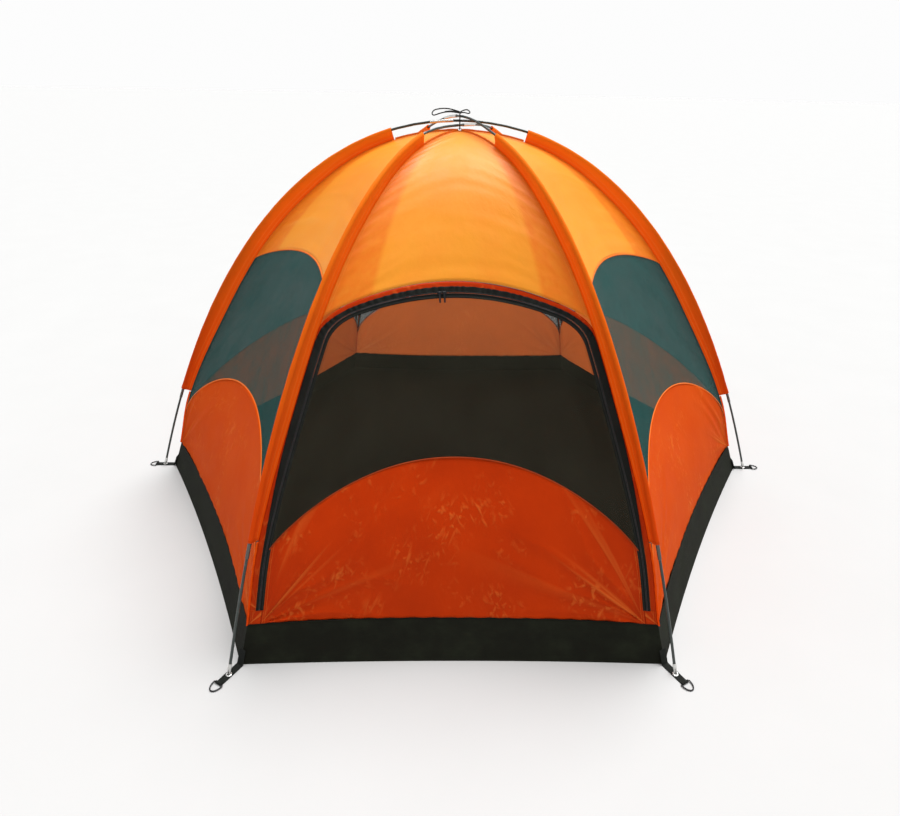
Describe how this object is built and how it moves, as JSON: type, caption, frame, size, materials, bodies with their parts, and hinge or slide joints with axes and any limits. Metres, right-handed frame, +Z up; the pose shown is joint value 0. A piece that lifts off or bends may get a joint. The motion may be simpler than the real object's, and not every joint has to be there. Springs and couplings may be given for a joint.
{
  "type": "dome tent",
  "caption": "Hexagonal dome tent on three crossed poles, with an orange canopy, mesh windows, a zipped mesh door hinged at its foot and a dark bathtub floor.",
  "frame": {"origin": "centre of the floor on the ground plane", "axes": "+Z up; +X to the right-hand corner, seen from in front; the door faces -Y"},
  "size_m": [2.6256, 2.2772, 1.4277],
  "materials": {
    "gore_cloth": "thin coated polyester, light orange",
    "lower_cloth": "thin coated polyester, deep orange",
    "sleeve_cloth": "polyester, red orange",
    "mesh_cloth": "fine insect mesh, dark teal",
    "tub_cloth": "coated floor cloth, near black",
    "webbing": "woven webbing, black",
    "zip_tape": "zip tape and coil, black",
    "tie_cord": "braided cord, black",
    "fibreglass": "glass fibre rod, dark green black",
    "steel": "drawn steel ferrule",
    "black_metal": "black coated steel"
  },
  "bodies": {
    "tent": {"bathtub_floor": "tub_cloth", "canopy_gore_rear_right": "gore_cloth", "window_mesh_rear_right": "mesh_cloth", "lower_panel_rear_right": "lower_cloth", "canopy_gore_rear": "gore_cloth", "window_mesh_rear": "mesh_cloth", "lower_panel_rear": "lower_cloth", "canopy_gore_rear_left": "gore_cloth", "window_mesh_rear_left": "mesh_cloth", "lower_panel_rear_left": "lower_cloth", "canopy_gore_front_left": "gore_cloth", "window_mesh_front_left": "mesh_cloth", "lower_panel_front_left": "lower_cloth", "canopy_gore_front": "gore_cloth", "canopy_gore_front_right": "gore_cloth", "window_mesh_front_right": "mesh_cloth", "lower_panel_front_right": "lower_cloth", "pole_sleeve_right": "sleeve_cloth", "pole_rod_right": "fibreglass", "pole_leg_right": "fibreglass", "corner_strap_right": "webbing", "pole_sleeve_rear_right": "sleeve_cloth", "pole_rod_rear_right": "fibreglass", "pole_leg_rear_right": "fibreglass", "corner_strap_rear_right": "webbing", "pole_sleeve_rear_left": "sleeve_cloth", "pole_rod_rear_left": "fibreglass", "pole_leg_rear_left": "fibreglass", "corner_strap_rear_left": "webbing", "pole_sleeve_left": "sleeve_cloth", "pole_rod_left": "fibreglass", "pole_leg_left": "fibreglass", "corner_strap_left": "webbing", "pole_sleeve_front_left": "sleeve_cloth", "pole_rod_front_left": "fibreglass", "pole_leg_front_left": "fibreglass", "corner_strap_front_left": "webbing", "pole_sleeve_front_right": "sleeve_cloth", "pole_rod_front_right": "fibreglass", "pole_leg_front_right": "fibreglass", "corner_strap_front_right": "webbing", "crown_ferrule_left": "steel", "crown_ferrule_rear_right": "steel", "crown_ferrule_rear_left": "steel", "frame_zip_strip": "zip_tape", "crown_tie": "tie_cord", "apex_tape": "sleeve_cloth"},
    "door": {"door_mesh": "mesh_cloth", "door_lower_panel": "lower_cloth", "door_zip_tape": "zip_tape"},
    "zip_slider_left": {"zip_slider_left": "black_metal"},
    "zip_slider_right": {"zip_slider_right": "black_metal"},
    "slider_pull_left": {"slider_pull_left": "black_metal"},
    "slider_pull_right": {"slider_pull_right": "black_metal"},
    "stake_ring_right": {"stake_ring_right": "black_metal"},
    "stake_ring_rear_right": {"stake_ring_rear_right": "black_metal"},
    "stake_ring_rear_left": {"stake_ring_rear_left": "black_metal"},
    "stake_ring_left": {"stake_ring_left": "black_metal"},
    "stake_ring_front_left": {"stake_ring_front_left": "black_metal"},
    "stake_ring_front_right": {"stake_ring_front_right": "black_metal"}
  },
  "joints": [
    {"name": "door_hinge", "type": "hinge", "parent": "tent", "child": "door", "pos_m": [0, -1.01, 0.1105], "axis": [1, 0, 0], "range_deg": [0, 110]},
    {"name": "left_slider_travel", "type": "hinge", "parent": "door", "child": "zip_slider_left", "pos_m": [0, -1.0713, 0.5516], "axis": [0, -0.6354, 0.7721], "range_deg": [0, 19]},
    {"name": "right_slider_travel", "type": "hinge", "parent": "door", "child": "zip_slider_right", "pos_m": [0, -1.0713, 0.5516], "axis": [0, -0.6354, 0.7721], "range_deg": [-27, 0]},
    {"name": "left_pull_swing", "type": "hinge", "parent": "zip_slider_left", "child": "slider_pull_left", "pos_m": [-0.05177, -0.59137, 0.95822], "axis": [-0.9966, -0.0633, -0.0521], "range_deg": [0, 150]},
    {"name": "right_pull_swing", "type": "hinge", "parent": "zip_slider_right", "child": "slider_pull_right", "pos_m": [-0.03786, -0.59061, 0.95885], "axis": [-0.9982, -0.0463, -0.0381], "range_deg": [0, 150]},
    {"name": "right_ring_swing", "type": "hinge", "parent": "tent", "child": "stake_ring_right", "pos_m": [1.284, 0, 0.004], "axis": [0, -1, 0], "range_deg": [0, 140]},
    {"name": "rear_right_ring_swing", "type": "hinge", "parent": "tent", "child": "stake_ring_rear_right", "pos_m": [0.642, 1.11198, 0.004], "axis": [0.866, -0.5, 0], "range_deg": [0, 140]},
    {"name": "rear_left_ring_swing", "type": "hinge", "parent": "tent", "child": "stake_ring_rear_left", "pos_m": [-0.642, 1.11198, 0.004], "axis": [0.866, 0.5, 0], "range_deg": [0, 140]},
    {"name": "left_ring_swing", "type": "hinge", "parent": "tent", "child": "stake_ring_left", "pos_m": [-1.284, 0, 0.004], "axis": [0, 1, 0], "range_deg": [0, 140]},
    {"name": "front_left_ring_swing", "type": "hinge", "parent": "tent", "child": "stake_ring_front_left", "pos_m": [-0.642, -1.11198, 0.004], "axis": [-0.866, 0.5, 0], "range_deg": [0, 140]},
    {"name": "front_right_ring_swing", "type": "hinge", "parent": "tent", "child": "stake_ring_front_right", "pos_m": [0.642, -1.11198, 0.004], "axis": [-0.866, -0.5, 0], "range_deg": [0, 140]}
  ]
}
